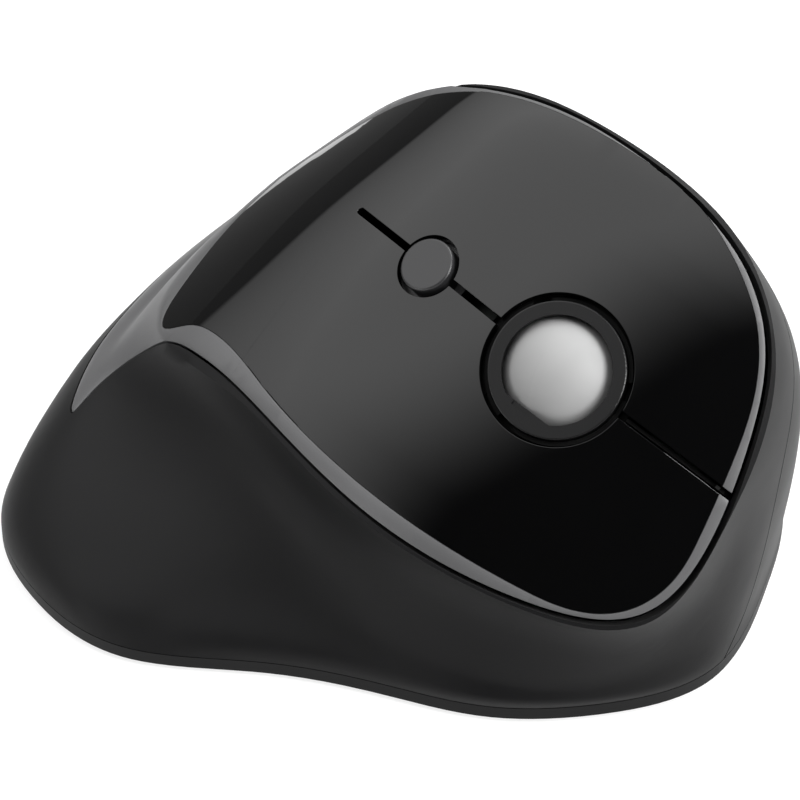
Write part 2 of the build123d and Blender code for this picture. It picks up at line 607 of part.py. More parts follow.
nose_x = NOSE_SLOT.to_local_coords(Vector(*lid(*FRONT_SLOT[1]))).X - RIB_SHORT
well_x = NOSE_SLOT.to_local_coords(Vector(*BALL)).X + WELL_R + 1.0
rib = slab(NOSE_SLOT, nose_x - well_x, RIB, -60, 25, x0=(nose_x + well_x) / 2) - above_lid(RIB_DEPTH)
rib += slab(NOSE_SLOT, NUB_LENGTH, RIB, -60, 25, x0=nose_x - NUB_BACK) - above_lid(NUB_DEPTH)
rib -= slab(CUP, 200, 200, -90, board_top)
rib -= disc(CUP, CUP_FLANGE_R + RIB_CLEAR, -20, flange_low + CUP_FLANGE + RIB_CLEAR)
parts["slot_rib"] = biggest(rib & wall_solid(WALL + RIB_CLEAR, 0))

# ---------------------------------------------------------------- thumb buttons
length, width = THUMB_CAP
faces, holes, caps, grips = [], [], [], []
for station, down in THUMB_BUTTONS.values():
    point, normal = skin_point(station, down)
    along = skin_point(station + 0.1, down)[0] - skin_point(station - 0.1, down)[0]
    face = Plane(Vector(*point), x_dir=Vector(*along), z_dir=Vector(*normal))
    faces.append(face)
    holes.append(pill(face, length, width, -8, 6, 2.6))
    caps.append(pill(face, length - 2 * THUMB_GAP, width - 2 * THUMB_GAP, -7, 4, 2.6 - THUMB_GAP))
    grips.append(pill(face, length + 2 * THUMB_FLANGE, width + 2 * THUMB_FLANGE, -7, 0, 3.4))
thumb_shell = biggest(thumb_shell - holes)
caps = fitted(caps, wall_solid(-THUMB_PROUD, 0), inside=True)
grips = fitted(grips, wall_solid(THUMB_FLANGE_DEPTH[0], 0), inside=True)
buttons = fitted([cap.fuse(grip).solid() for cap, grip in zip(caps, grips)], wall_solid(THUMB_FLANGE_DEPTH[1], 0))
for name, face, button in zip(THUMB_BUTTONS, faces, buttons):
    parts[name] = button
    key_top = -THUMB_FLANGE_DEPTH[1] - THUMB_TRAVEL - 0.5
    tact = slab(face, TACT[0] + 1, TACT[0] + 1, key_top - TACT_KEY[1] - TACT[1], key_top - TACT_KEY[1])
    tact += disc(face, TACT_KEY[0], key_top - 2, key_top)
    low = key_top - TACT_KEY[1] - TACT[1] - BOARD
    tact += pill(face, THUMB_BOARD, width + 2 * THUMB_FLANGE + 6.4, low, low + BOARD, 1.5)
    for y in (-1, 1):
        tact += disc(face, 1.1, low + 0.5, -WALL - 1.4, y=y * (width / 2 + THUMB_FLANGE + 1.7))
    parts[name.replace("button", "switch")] = biggest(tact)

# ---------------------------------------------------------------- base plate
base = foot_ring(0, BASE_UNDER, BASE_PLATE - SHADOW_LINE) + foot_ring(SHADOW_INSET, BASE_UNDER, BASE_PLATE)
base += foot_ring(LIP_INSET, HEM_TOP - 0.1, LIP[1] + 0.1) - foot_ring(LIP_INSET + LIP[0], HEM_TOP - 1, LIP[1] + 3)
bx, by, bz = BATTERY_AT
bay = (2 * BATTERY_R + 1.0, BATTERY_LENGTH + 5.0)
bay_top = bz + 2.0
base += slab(TABLE, bay[0] + 2 * BAY_WALL, bay[1] + 2 * BAY_WALL, HEM_TOP - 0.5, bay_top, bx, by)
base -= slab(TABLE, bay[0], bay[1], 0, bay_top + 1, bx, by)
base -= pill(TABLE, DOOR_SIZE[0] + 2 * DOOR_GAP, DOOR_SIZE[1] + 2 * DOOR_GAP, 0, BASE_UNDER + DOOR_PLATE + 0.1, 2, bx, by)
rx, ry = RECEIVER_AT
dock = [size + 2 * RECEIVER_FIT for size in RECEIVER[:2]]
dock_top = BASE_UNDER + 0.3 + RECEIVER[2] + RECEIVER_PLUG[2] + 0.5
base += slab(TABLE, dock[0] + 2 * DOCK_WALL, dock[1] + 2 * DOCK_WALL, HEM_TOP - 0.5, dock_top + DOCK_WALL, rx, ry)
base -= slab(TABLE, *dock, 0, dock_top, rx, ry)
base -= slab(TABLE, dock[0] - 4, dock[1] + 4, 0, BASE_UNDER + 0.9, rx, ry)
px, py = POWER_AT
base -= pill(TABLE, POWER_KNOB[0] + 4, POWER_KNOB[1] + POWER_TRAVEL + 4, 0, BASE_UNDER + 0.9, 1.5, px, py)
knob_run = POWER_KNOB[1] + POWER_TRAVEL + 2 * POWER_FIT
base -= slab(TABLE, POWER_KNOB[0] + 2 * POWER_FIT, knob_run, 0, 5, px, py)
pads = []
for x, y, length, width, turn in FOOT_PADS:
    spot = Plane((x, y, 0)).rotated((0, 0, turn))
    corner = min(length, width) / 2 - 0.3
    base -= pill(spot, length + 0.2, width + 0.2, 0, BASE_UNDER + FOOT_SINK, corner + 0.1)
    pads.append(pill(spot, length, width, 0, BASE_UNDER + FOOT_SINK, corner))
parts["rubber_feet"] = Compound(pads)

boss_spots = [inset_foot(station, BOSS_INSET) for station in MAIN_BOSSES + THUMB_BOSSES]
bosses = [disc(TABLE, BOSS_R, HEM_TOP, HEM_TOP + BOSS_HEIGHT, x=x, y=y) for x, y in boss_spots]
bosses = fitted(bosses, wall_solid(BOSS_SINK, 0), inside=True)
screws = []
for k, (x, y) in enumerate(boss_spots):
    base -= disc(TABLE, BOSS_R + 0.2, HEM_TOP, HEM_TOP + LIP[1] + 1, x=x, y=y)
    base -= disc(TABLE, SCREW_HEAD_R + 0.2, 0, BASE_UNDER + SCREW_HEAD, x=x, y=y)
    base -= disc(TABLE, SCREW_R, 0, 6, x=x, y=y)
    screw = disc(TABLE, SCREW_HEAD_R, BASE_UNDER + 0.2, BASE_UNDER + SCREW_HEAD, x=x, y=y)
    screw += disc(TABLE, SCREW_R - 0.02, BASE_UNDER + SCREW_HEAD - 0.2, BASE_UNDER + SCREW_LENGTH, x=x, y=y)
    for turn in (0, 90):
        cross = Plane((x, y, 0)).rotated((0, 0, turn))
        screw -= slab(cross, 2.2, 0.5, 0, BASE_UNDER + 0.7)
    screws.append(biggest(screw))
pilots = [disc(TABLE, SCREW_R, 0, BASE_UNDER + SCREW_LENGTH + 1, x=x, y=y) for x, y in boss_spots]
main_count = len(MAIN_BOSSES)
main_shell = biggest(main_shell.fuse(*bosses[:main_count]) - pilots[:main_count])
thumb_shell = biggest(thumb_shell.fuse(*bosses[main_count:]) - pilots[main_count:])
parts["screws"] = Compound(screws)
parts["main_shell"] = main_shell
parts["thumb_shell"] = thumb_shell
parts["base_plate"] = biggest(base)

# ---------------------------------------------------------------- battery, door, boards, receiver
cell = Plane((bx, by - BATTERY_LENGTH / 2, bz), x_dir=(1, 0, 0), z_dir=(0, 1, 0))
battery = disc(cell, BATTERY_R, 0, BATTERY_LENGTH) + disc(cell, 2.7, BATTERY_LENGTH - 0.1, BATTERY_LENGTH + 1.0)
ends = battery.edges().filter_by(GeomType.CIRCLE).filter_by(lambda e: abs(e.radius - BATTERY_R) < 0.01)
parts["battery"] = battery.solid().fillet(0.6, ends)
front = by + bay[1] / 2
rear = by - bay[1] / 2
plate = slab(TABLE, 9, CONTACT, bz - 5, bz + 2, bx, front - CONTACT / 2)
button = slab(TABLE, 9, CONTACT, bz - 5, bz + 2, bx, rear + CONTACT / 2)
spring = disc(cell, 3.6, rear + CONTACT - cell.origin.Y, -0.05, 2.6)
parts["battery_contacts"] = Compound([plate, (button + spring).solid()])

door = pill(TABLE, *DOOR_SIZE, BASE_UNDER, BASE_UNDER + DOOR_PLATE, 1.8, bx, by)
for k in range(6):
    door -= slab(TABLE, 9 - 1.2 * k, 0.6, 0, BASE_UNDER + 0.35, bx, by - DOOR_SIZE[1] / 2 + 4 + 1.5 * k)
parts["battery_door"] = door.solid()

mx, my, mz = MAIN_BOARD_AT
board = pill(TABLE, *MAIN_BOARD, mz, mz + BOARD, 1.5, mx, my)
chips = slab(TABLE, 7, 7, mz + BOARD, mz + BOARD + 1.2, mx, my + 6) + slab(TABLE, 5, 3.2, mz + BOARD, mz + BOARD + 1, mx, my - 8)
socket = slab(TABLE, 9, 5, mz + BOARD, mz + BOARD + 4, mx, my + 19)
board += chips + socket
for x, y in ((mx - 6, my - 21), (mx + 6, my - 10), (mx - 6, my + 21), (mx + 5, my + 21)):
    board += disc(TABLE, 1.4, HEM_TOP, mz + 0.1, x=x, y=y)
board += slab(TABLE, 7, 9.6, mz - 1.4, mz + 0.1, px, py)
parts["main_board"] = board.solid()

knob = slab(TABLE, *POWER_KNOB, BASE_UNDER + 0.2, mz - 1.6, px, py - POWER_TRAVEL / 2)
for k in (-1, 0, 1):
    knob -= slab(TABLE, 4, 0.4, 0, BASE_UNDER + 0.5, px, py - POWER_TRAVEL / 2 + k)
parts["power_switch"] = knob.solid()

dongle = pill(TABLE, RECEIVER[0], RECEIVER[1], BASE_UNDER + 0.3, BASE_UNDER + 0.3 + RECEIVER[2], 1.2, rx, ry)
plug_low = BASE_UNDER + 0.3 + RECEIVER[2]
dongle += slab(TABLE, *RECEIVER_PLUG[:2], plug_low - 0.2, plug_low + RECEIVER_PLUG[2], rx, ry)
parts["usb_receiver"] = dongle.solid()

# ---------------------------------------------------------------- files
os.makedirs("parts", exist_ok=True)
for name, shape in parts.items():
    export_step(shape, f"parts/{name}.step")
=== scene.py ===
import json
import math

import bpy
import numpy as np
from mathutils import Matrix, Vector
from mathutils.kdtree import KDTree


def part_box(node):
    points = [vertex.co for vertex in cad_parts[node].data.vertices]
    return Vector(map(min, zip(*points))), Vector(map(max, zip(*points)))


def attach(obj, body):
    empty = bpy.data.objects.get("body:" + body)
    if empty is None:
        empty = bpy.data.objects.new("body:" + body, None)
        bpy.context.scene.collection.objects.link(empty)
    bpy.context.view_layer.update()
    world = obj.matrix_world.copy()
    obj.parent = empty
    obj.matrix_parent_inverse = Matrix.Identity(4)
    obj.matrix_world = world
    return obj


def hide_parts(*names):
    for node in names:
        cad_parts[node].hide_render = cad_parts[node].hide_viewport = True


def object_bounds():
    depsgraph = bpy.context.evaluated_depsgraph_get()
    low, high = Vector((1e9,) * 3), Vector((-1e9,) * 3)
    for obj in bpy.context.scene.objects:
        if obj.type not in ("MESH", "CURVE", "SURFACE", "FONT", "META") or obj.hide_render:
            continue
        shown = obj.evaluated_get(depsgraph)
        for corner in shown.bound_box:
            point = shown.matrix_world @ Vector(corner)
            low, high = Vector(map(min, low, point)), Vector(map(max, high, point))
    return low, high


bl_info = {
    "name": "Trackball mouse finish",
    "version": (1, 1, 0),
    "blender": (4, 5, 0),
    "location": "View3D > Sidebar > Trackball mouse",
    "description": "Finishes a vertical trackball mouse and sets it in a small studio",
    "category": "Object",
}

MM = 0.001

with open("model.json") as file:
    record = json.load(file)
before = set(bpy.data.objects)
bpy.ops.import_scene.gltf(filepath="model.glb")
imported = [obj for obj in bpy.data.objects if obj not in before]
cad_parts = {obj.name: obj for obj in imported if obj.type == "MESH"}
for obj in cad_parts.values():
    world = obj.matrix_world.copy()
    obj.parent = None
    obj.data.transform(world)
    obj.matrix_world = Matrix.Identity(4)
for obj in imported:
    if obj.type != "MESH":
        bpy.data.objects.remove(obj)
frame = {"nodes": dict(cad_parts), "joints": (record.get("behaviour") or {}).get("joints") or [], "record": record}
NODES = frame["nodes"]
CAD_BOX = [list(corner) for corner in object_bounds()]
BODY_OF = {node: body for body, members in frame["record"]["behaviour"]["bodies"].items() for node in members}
JOINTS = {joint["name"]: joint for joint in frame["joints"]}
OUT = Vector(JOINTS["ring_twist"]["axis"]).normalized()
BALL = sum(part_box("trackball"), Vector()) / 2
HINGE_AXIS = Vector(JOINTS["left_button_press"]["axis"]).normalized()

# Parts that are shown by a piece of their own.
PANELS = {"palm_cover": "palm-panel", "left_button": "left-panel", "right_button": "right-panel"}
TRIMS = {node: node.replace("_", "-") + "-satin" for node in ("palm_trim", "left_button_trim", "right_button_trim")}
SHELLS = {"main_shell": "main-shell", "thumb_shell": "thumb-shell"}

# Moulded surfaces: where most of a noise lies, broad patches to the metre, how far the colour strays, and the
# lowest roughness.
NOISE_BAND = (0.3, 0.7)
BROAD_SCALE = 60.0
TONE_SPREAD = 0.07
SLICKEST = 0.02

# Meshing: how near points are joined, which edges are sharp and which stay hard, what runs beside a part, and how
# the trim's rounding compares with the panel's.
MERGE_REACH = 0.002 * MM
SHARP_TURN = math.radians(40)
SMOOTH_TURN = math.radians(35)
BESIDE_REACH = 0.9 * MM
TRIM_EDGE_SHARE = 0.7

# The panel's top. Its faces look along the ring's axis by at least this cosine and lie at most so far under the
# ball's middle; the rest tells how near the fitted sheet a point or face is, and how far it leans with it.
TOP_LEAN = 0.45
TOP_DROP = 20 * MM
ON_SHEET = 0.02 * MM
NEAR_SHEET = 0.09 * MM
ALONG_SHEET = 0.94
LEANS_LIKE_SHEET = 0.3

# The seam behind the buttons. Its sides run along the hinge (skew), face ahead or back and a little outwards, and
# are told apart in steps; points within so much of half its gap, and a little more, are brought to its middle.
SIDE_SKEW = 0.02
SIDE_AHEAD = 0.7
SIDE_RISE = 0.2
SIDE_STEP = 0.1 * MM
SEAM_REACH = 1.3
SEAM_SLACK = 0.005 * MM

# Screw holes in the shells: how far apart screws are at least, the reach from a screw's axis to its hole and to the
# rim that the hole leaves in the wall, and the upward part of the normals of walls, outsides and ends.
SCREW_APART = 8 * MM
HOLE_RADIUS = 1.0 * MM
HOLE_RIM = 1.2 * MM
UPRIGHT = 0.1
FACES_UP = 0.4
FACES_DOWN = -0.9

# Floor and world: what they look like and how much light they give.
FLOOR_SIZE = 6.0
FLOOR_GREY = 0.3
FLOOR_GLOW = 0.78
WORLD_LIGHT = 0.2
WORLD_SEEN = 1.0
MATT = 0.9

# Tent. Its glow fades along one way and rises along another. Places are in radii: where the fade starts and ends,
# the soft lower edge, the rise (from, to, least, most) and the dim side (from, to, brightness at each).
TENT_RADIUS = 1.4
TENT_ACROSS = (0.192, 0.532, -0.824)
TENT_UP = (0.12, 0.0, 1.0)
TENT_FADE = (-0.311, -0.779)
TENT_EDGE = (0.235, 0.275)
TENT_RISE = (0.26, 0.62, 0.31, 0.92)
TENT_DIM = (-0.6, -0.4, 0.13, 0.02)
TENT_DARK = 0.02

# Black card: its reach along X and Z, how far it stands from the object, and its shade.
CARD_X = (-0.5, 0.3)
CARD_Z = (0.001, 0.06)
CARD_AWAY = 0.088
CARD_GREY = 0.02
CARD_GLOW = 0.11

# Lamps. Name: the setting with its brightness, azimuth and elevation in degrees, width and height.
LAMP_DISTANCE = 0.9
LAMP_AIM = Vector((0, 0, 0.03))
LAMPS = {
    "Nose lamp": ("nose_lamp", 97, 32, 0.45, 0.85),
    "Flank lamp": ("flank_lamp", -25, 7, 0.45, 0.45),
    "Thumb lamp": ("thumb_lamp", 165, 36, 0.55, 0.55),
}

# Camera: lens and sensor in millimetres, and the spot it aims at, lifted along its own upward direction.
CAMERA_DISTANCE = 0.6
CAMERA_LENS = 167.4
CAMERA_SENSOR = 36
CAMERA_AIM = Vector((-0.002, -0.0036, 0))
CAMERA_LIFT = 0.01613


# ---------------------------------------------------------------- shader helpers
def new_material(name):
    material = bpy.data.materials.new(name)
    material.use_nodes = True
    tree = material.node_tree
    return material, tree, tree.nodes["Principled BSDF"]


def set_inputs(node, values):
    for key, value in values.items():
        node.inputs[key].default_value = value


def add_node(tree, kind, **values):
    """A new node; each value goes to the socket of that name, or else to the property of that name."""
    node = tree.nodes.new(kind)
    for key, value in values.items():
        if key in node.inputs:
            node.inputs[key].default_value = value
        else:
            setattr(node, key, value)
    return node


def remapped(tree, value, low, high, to_low, to_high, easing="LINEAR"):
    spread = add_node(tree, "ShaderNodeMapRange", interpolation_type=easing)
    set_inputs(spread, {"From Min": low, "From Max": high, "To Min": to_low, "To Max": to_high})
    tree.links.new(value, spread.inputs["Value"])
    return spread.outputs["Result"]


def combined(tree, operation, first, second):
    node = add_node(tree, "ShaderNodeMath", operation=operation)
    tree.links.new(first, node.inputs[0])
    tree.links.new(second, node.inputs[1])
    return node.outputs[0]


def moulded_plastic(name, colour, roughness, grain_mm, grain_height_mm, wander=0.04, specular=0.5, metal=0.0,
                    sheen=0.0):
    """Moulded surface: a fine grain, and a finish and a colour that wander a little from place to place."""
    material, tree, shader = new_material(name)
    set_inputs(shader, {"Specular IOR Level": specular, "Metallic": metal, "Sheen Weight": sheen})
    place = tree.nodes.new("ShaderNodeTexCoord").outputs["Object"]
    fine = add_node(tree, "ShaderNodeTexNoise", Scale=1000 / grain_mm, Detail=2.0, Roughness=0.5)
    broad = add_node(tree, "ShaderNodeTexNoise", Scale=BROAD_SCALE, Detail=3.0, Roughness=0.55)
    tree.links.new(place, fine.inputs["Vector"])
    tree.links.new(place, broad.inputs["Vector"])
    low, high = max(roughness - wander, SLICKEST), roughness + wander
    tree.links.new(remapped(tree, broad.outputs["Fac"], *NOISE_BAND, low, high), shader.inputs["Roughness"])
    tone = add_node(tree, "ShaderNodeMix", data_type="RGBA")
    tone.inputs["A"].default_value = (*[(1 - TONE_SPREAD) * part for part in colour], 1)
    tone.inputs["B"].default_value = (*[(1 + TONE_SPREAD) * part for part in colour], 1)
    tree.links.new(remapped(tree, broad.outputs["Fac"], *NOISE_BAND, 0.0, 1.0), tone.inputs["Factor"])
    tree.links.new(tone.outputs["Result"], shader.inputs["Base Color"])
    bump = add_node(tree, "ShaderNodeBump", Strength=1.0, Distance=grain_height_mm * MM)
    tree.links.new(fine.outputs["Fac"], bump.inputs["Height"])
    tree.links.new(bump.outputs["Normal"], shader.inputs["Normal"])
    return material


def side_black(finish):
    """Soft black of the side shells and of what closes the underside."""
    return moulded_plastic("Side black", finish.shell_colour, finish.shell_roughness, grain_mm=0.35,
                           grain_height_mm=0.005, specular=0.16, sheen=0.03)


def dress(mesh, material):
    mesh.materials.clear()
    mesh.materials.append(material)


# ---------------------------------------------------------------- mesh helpers
def select_only(piece):
    bpy.ops.object.select_all(action="DESELECT")
    piece.select_set(True)
    bpy.context.view_layer.objects.active = piece


def pick(piece, kind, chosen):
    """Select some edges or faces of a piece and go to edit mode."""
    select_only(piece)
    bpy.ops.object.mode_set(mode="EDIT")
    bpy.ops.mesh.select_mode(type=kind)
    bpy.ops.mesh.select_all(action="DESELECT")
    bpy.ops.object.mode_set(mode="OBJECT")
    parts = piece.data.edges if kind == "EDGE" else piece.data.polygons
    parts.foreach_set("select", np.asarray(chosen, dtype=bool))
    bpy.ops.object.mode_set(mode="EDIT")


def merged_copy(node, name):
    """A copy of a carried-over part with its triangles joined, riding where it rides and standing for it."""
    piece = bpy.data.objects.new(name, NODES[node].data.copy())
    bpy.context.collection.objects.link(piece)
    select_only(piece)
    bpy.ops.mesh.customdata_custom_splitnormals_clear()
    bpy.ops.object.mode_set(mode="EDIT")
    bpy.ops.mesh.select_all(action="SELECT")
    bpy.ops.mesh.remove_doubles(threshold=MERGE_REACH)
    bpy.ops.object.mode_set(mode="OBJECT")
    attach(piece, BODY_OF[node])
    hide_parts(node)
    return piece


def smooth(piece):
    select_only(piece)
    bpy.ops.object.shade_smooth_by_angle(angle=SMOOTH_TURN)


def face_arrays(mesh):
    """Centres and normals of a mesh's faces."""
    centres = np.empty(len(mesh.polygons) * 3)
    normals = np.empty(len(mesh.polygons) * 3)
    mesh.polygons.foreach_get("center", centres)
    mesh.polygons.foreach_get("normal", normals)
    return centres.reshape(-1, 3), normals.reshape(-1, 3)


def points_of(mesh):
    points = np.empty(len(mesh.vertices) * 3)
    mesh.vertices.foreach_get("co", points)
    return points.reshape(-1, 3)


def points_on(mesh, faces):
    """Numbers of the points that some faces of a mesh stand on."""
    return {point for face in np.flatnonzero(faces) for point in mesh.polygons[face].vertices}


class Sheet:
    """Smooth sheet through the top of the panel, as a height over the plane square to the ball's ring."""

    DEGREE = 8
    SPAN = 0.04
    FITS = 4
    OUTLIER = 3
    CLOSE = 0.01 * MM

    def __init__(self, points):
        side = OUT.cross(HINGE_AXIS).normalized()
        self.axes = np.array([side, OUT.cross(side), OUT])
        self.centre = points.mean(0)
        for _ in range(self.FITS):
            u, v, w = self.spans(points)
            self.factors = np.linalg.lstsq(self.powers(u, v), w, rcond=None)[0]
            off = np.abs(self.height(points))
            points = points[off < max(self.CLOSE, self.OUTLIER * np.median(off))]

    def spans(self, points):
        """Place of each point on the plane and over it, in spans."""
        return ((points - self.centre) @ self.axes.T / self.SPAN).T

    def powers(self, u, v):
        return np.stack([u ** i * v ** j for i in range(self.DEGREE + 1) for j in range(self.DEGREE + 1 - i)], 1)

    def height(self, points):
        u, v, w = self.spans(points)
        return (w - self.powers(u, v) @ self.factors) * self.SPAN

    def normals(self, points, step=0.002):
        u, v, _ = self.spans(points)
        du = (self.powers(u + step, v) - self.powers(u - step, v)) @ self.factors / (2 * step)
        dv = (self.powers(u, v + step) - self.powers(u, v - step)) @ self.factors / (2 * step)
        normals = np.stack([-du, -dv, np.ones_like(du)], 1) @ self.axes
        return normals / np.linalg.norm(normals, axis=1, keepdims=True)


def top_points(nodes):
    """Points of the upward faces of these parts."""
    tops = []
    for node in nodes:
        mesh = NODES[node].data
        centres, normals = face_arrays(mesh)
        upward = (normals @ np.array(OUT) > TOP_LEAN) & ((centres - np.array(BALL)) @ np.array(OUT) > -TOP_DROP)
        tops.append(points_of(mesh)[sorted(points_on(mesh, upward))])
    return np.concatenate(tops)


def long_flat_side(node, sign):
    """Flat side of a part that runs furthest along the buttons' hinge: its direction and its place along that.

    The sign is 1 for a side that faces ahead, to the nose, and -1 for one that faces back.
    """
    centres, normals = face_arrays(NODES[node].data)
    hinge = np.array(HINGE_AXIS)
    ahead = sign * np.array(HINGE_AXIS.cross(OUT)) * np.sign(HINGE_AXIS.cross(OUT).y)
    level = ((np.abs(normals @ hinge) < SIDE_SKEW) & (normals @ ahead > SIDE_AHEAD)
             & (sign * (normals @ np.array(OUT)) > SIDE_RISE))
    centres, normals = centres[level], normals[level]
    places = (centres * normals).sum(1)
    keys = np.column_stack([np.round(normals, 2), np.round(places / SIDE_STEP)])
    groups = np.unique(keys, axis=0, return_inverse=True)[1].ravel()
    runs = [np.ptp(centres[groups == group] @ hinge) for group in range(groups.max() + 1)]
    side = groups == int(np.argmax(runs))
    normal = normals[side].mean(0)
    return normal / np.linalg.norm(normal), float(np.median(places[side]))


def find_seam():
    """The seam behind the buttons: the direction across it, the place of its middle and half its gap."""
    across, palm = long_flat_side("palm_cover", 1)
    button = -long_flat_side("left_button", -1)[1]
    return across, (palm + button) / 2, abs(button - palm) / 2


def close_seam(mesh, seam):
    """Bring a side of the seam to its middle, so that the panel looks unbroken; True for each point moved."""
    across, place, half = seam
    points = points_of(mesh)
    off = points @ across - place
    near = np.abs(off) < SEAM_REACH * half + SEAM_SLACK
    points[near] -= off[near, None] * across
    mesh.vertices.foreach_set("co", points.ravel())
    mesh.update()
    return near


def beside(mesh, nodes):
    """True for each point of a mesh that lies along one of these parts."""
    others = np.concatenate([points_of(NODES[node].data) for node in nodes])
    tree = KDTree(len(others))
    for index, point in enumerate(others):
        tree.insert(point, index)
    tree.balance()
    return np.array([tree.find(vertex.co)[2] < BESIDE_REACH for vertex in mesh.vertices])


def sharp_edges(mesh, spared):
    """True for each edge whose two faces meet at a sharp turn, unless both its points are spared."""
    faces = {}
    for face in mesh.polygons:
        for key in face.edge_keys:
            faces.setdefault(key, []).append(face.normal)
    turn = math.cos(SHARP_TURN)
    return [len(faces.get(edge.key, ())) == 2 and faces[edge.key][0].dot(faces[edge.key][1]) < turn
            and not spared[list(edge.vertices)].all() for edge in mesh.edges]


def bevel_edges(piece, chosen, width):
    pick(piece, "EDGE", chosen)
    bpy.ops.mesh.bevel(offset=width, segments=2, affect="EDGES", clamp_overlap=False)
    bpy.ops.object.mode_set(mode="OBJECT")


def smooth_top(piece, sheet):
    """Shade the top of a piece by the smooth sheet, so that its reflections run without ripples."""
    smooth(piece)
    mesh = piece.data
    centres, normals = face_arrays(mesh)
    likeness = (normals * sheet.normals(centres)).sum(1)
    on_top = (np.abs(sheet.height(centres)) < NEAR_SHEET) & (likeness > ALONG_SHEET)
    true_normals = sheet.normals(points_of(mesh))
    corners = np.empty(len(mesh.loops) * 3)
    mesh.corner_normals.foreach_get("vector", corners)
    corners = corners.reshape(-1, 3)
    tops = points_on(mesh, on_top)
    for face in mesh.polygons:
        if likeness[face.index] > LEANS_LIKE_SHEET:
            for corner, point in zip(face.loop_indices, face.vertices):
                if point in tops:
                    corners[corner] = true_normals[point]
    mesh.normals_split_custom_set([tuple(normal) for normal in corners])


def screw_axes():
    """Where each screw stands."""
    points = points_of(NODES["screws"].data)[:, :2]
    axes = []
    while len(points):
        own = np.linalg.norm(points - points[0], axis=1) < SCREW_APART
        axes.append((points[own].min(0) + points[own].max(0)) / 2)
        points = points[~own]
    return axes


def close_wall(piece, axis):
    """Fill the spot where a screw's hole comes through the outside of the wall."""
    mesh = piece.data
    centres, normals = face_arrays(mesh)
    inside = np.linalg.norm(centres[:, :2] - axis, axis=1) < HOLE_RADIUS
    hole = inside & (np.abs(normals[:, 2]) < UPRIGHT)
    touching = points_on(mesh, hole)
    if not any(touching & set(mesh.polygons[face].vertices) for face in np.flatnonzero(normals[:, 2] > FACES_UP)):
        return
    pick(piece, "FACE", hole | (inside & (normals[:, 2] < FACES_DOWN)))
    bpy.ops.mesh.delete(type="FACE")
    bpy.ops.object.mode_set(mode="OBJECT")
    sides = {}
    for face in mesh.polygons:
        for key in face.edge_keys:
            sides[key] = sides.get(key, 0) + 1
    near = np.linalg.norm(points_of(mesh)[:, :2] - axis, axis=1) < HOLE_RIM
    pick(piece, "EDGE", [sides.get(edge.key) == 1 and near[list(edge.vertices)].all() for edge in mesh.edges])
    bpy.ops.mesh.edge_face_add()
    bpy.ops.object.mode_set(mode="OBJECT")


# ---------------------------------------------------------------- settings
class FinishSettings(bpy.types.PropertyGroup):
    gloss_colour: bpy.props.FloatVectorProperty(
        name="Gloss colour", description="Colour of the glossy panel", subtype="COLOR", size=3, min=0, max=1,
        default=(0.0015, 0.0015, 0.0016))
    gloss_roughness: bpy.props.FloatProperty(
        name="Gloss roughness", description="Blur of what the glossy panel mirrors", subtype="FACTOR", min=0, max=1,
        default=0.03)
    trim_colour: bpy.props.FloatVectorProperty(
        name="Trim colour", description="Colour of the satin band round the panel", subtype="COLOR", size=3,
        min=0, max=1, default=(0.1, 0.1, 0.102))
    trim_roughness: bpy.props.FloatProperty(
        name="Trim roughness", description="Blur of what the satin band mirrors", subtype="FACTOR", min=0, max=1,
        default=0.42)
    shell_colour: bpy.props.FloatVectorProperty(
        name="Shell colour", description="Colour of the two side shells", subtype="COLOR", size=3, min=0, max=1,
        default=(0.0045, 0.0045, 0.0048))
    shell_roughness: bpy.props.FloatProperty(
        name="Shell roughness", description="Blur of what the shells mirror", subtype="FACTOR", min=0, max=1,
        default=0.5)
    ball_colour: bpy.props.FloatVectorProperty(
        name="Ball colour", description="Colour of the ball", subtype="COLOR", size=3, min=0, max=1,
        default=(0.32, 0.32, 0.32))
    edge_round: bpy.props.FloatProperty(
        name="Edge rounding", description="Radius on the moulded edges of the panel and its trim", subtype="DISTANCE",
        unit="LENGTH", min=0, max=0.0005, default=0.00012)


class StudioSettings(bpy.types.PropertyGroup):
    azimuth: bpy.props.FloatProperty(
        name="Camera turn", description="Direction from the mouse to the camera, from +X towards +Y",
        subtype="ANGLE", unit="ROTATION", default=math.radians(35))
    elevation: bpy.props.FloatProperty(
        name="Camera height", description="Angle of the camera above the table", subtype="ANGLE", unit="ROTATION",
        default=math.radians(41))
    softbox: bpy.props.FloatProperty(
        name="Softbox", description="Brightness of the big softbox overhead", min=0, max=10, default=2.0)
    nose_lamp: bpy.props.FloatProperty(
        name="Nose lamp", description="Brightness of the lamp before the nose", min=0, max=20, default=10.0)
    flank_lamp: bpy.props.FloatProperty(
        name="Flank lamp", description="Brightness of the low lamp beside the right flank", min=0, max=20, default=4.0)
    thumb_lamp: bpy.props.FloatProperty(
        name="Thumb lamp", description="Brightness of the lamp beyond the thumb side", min=0, max=20, default=5.5)


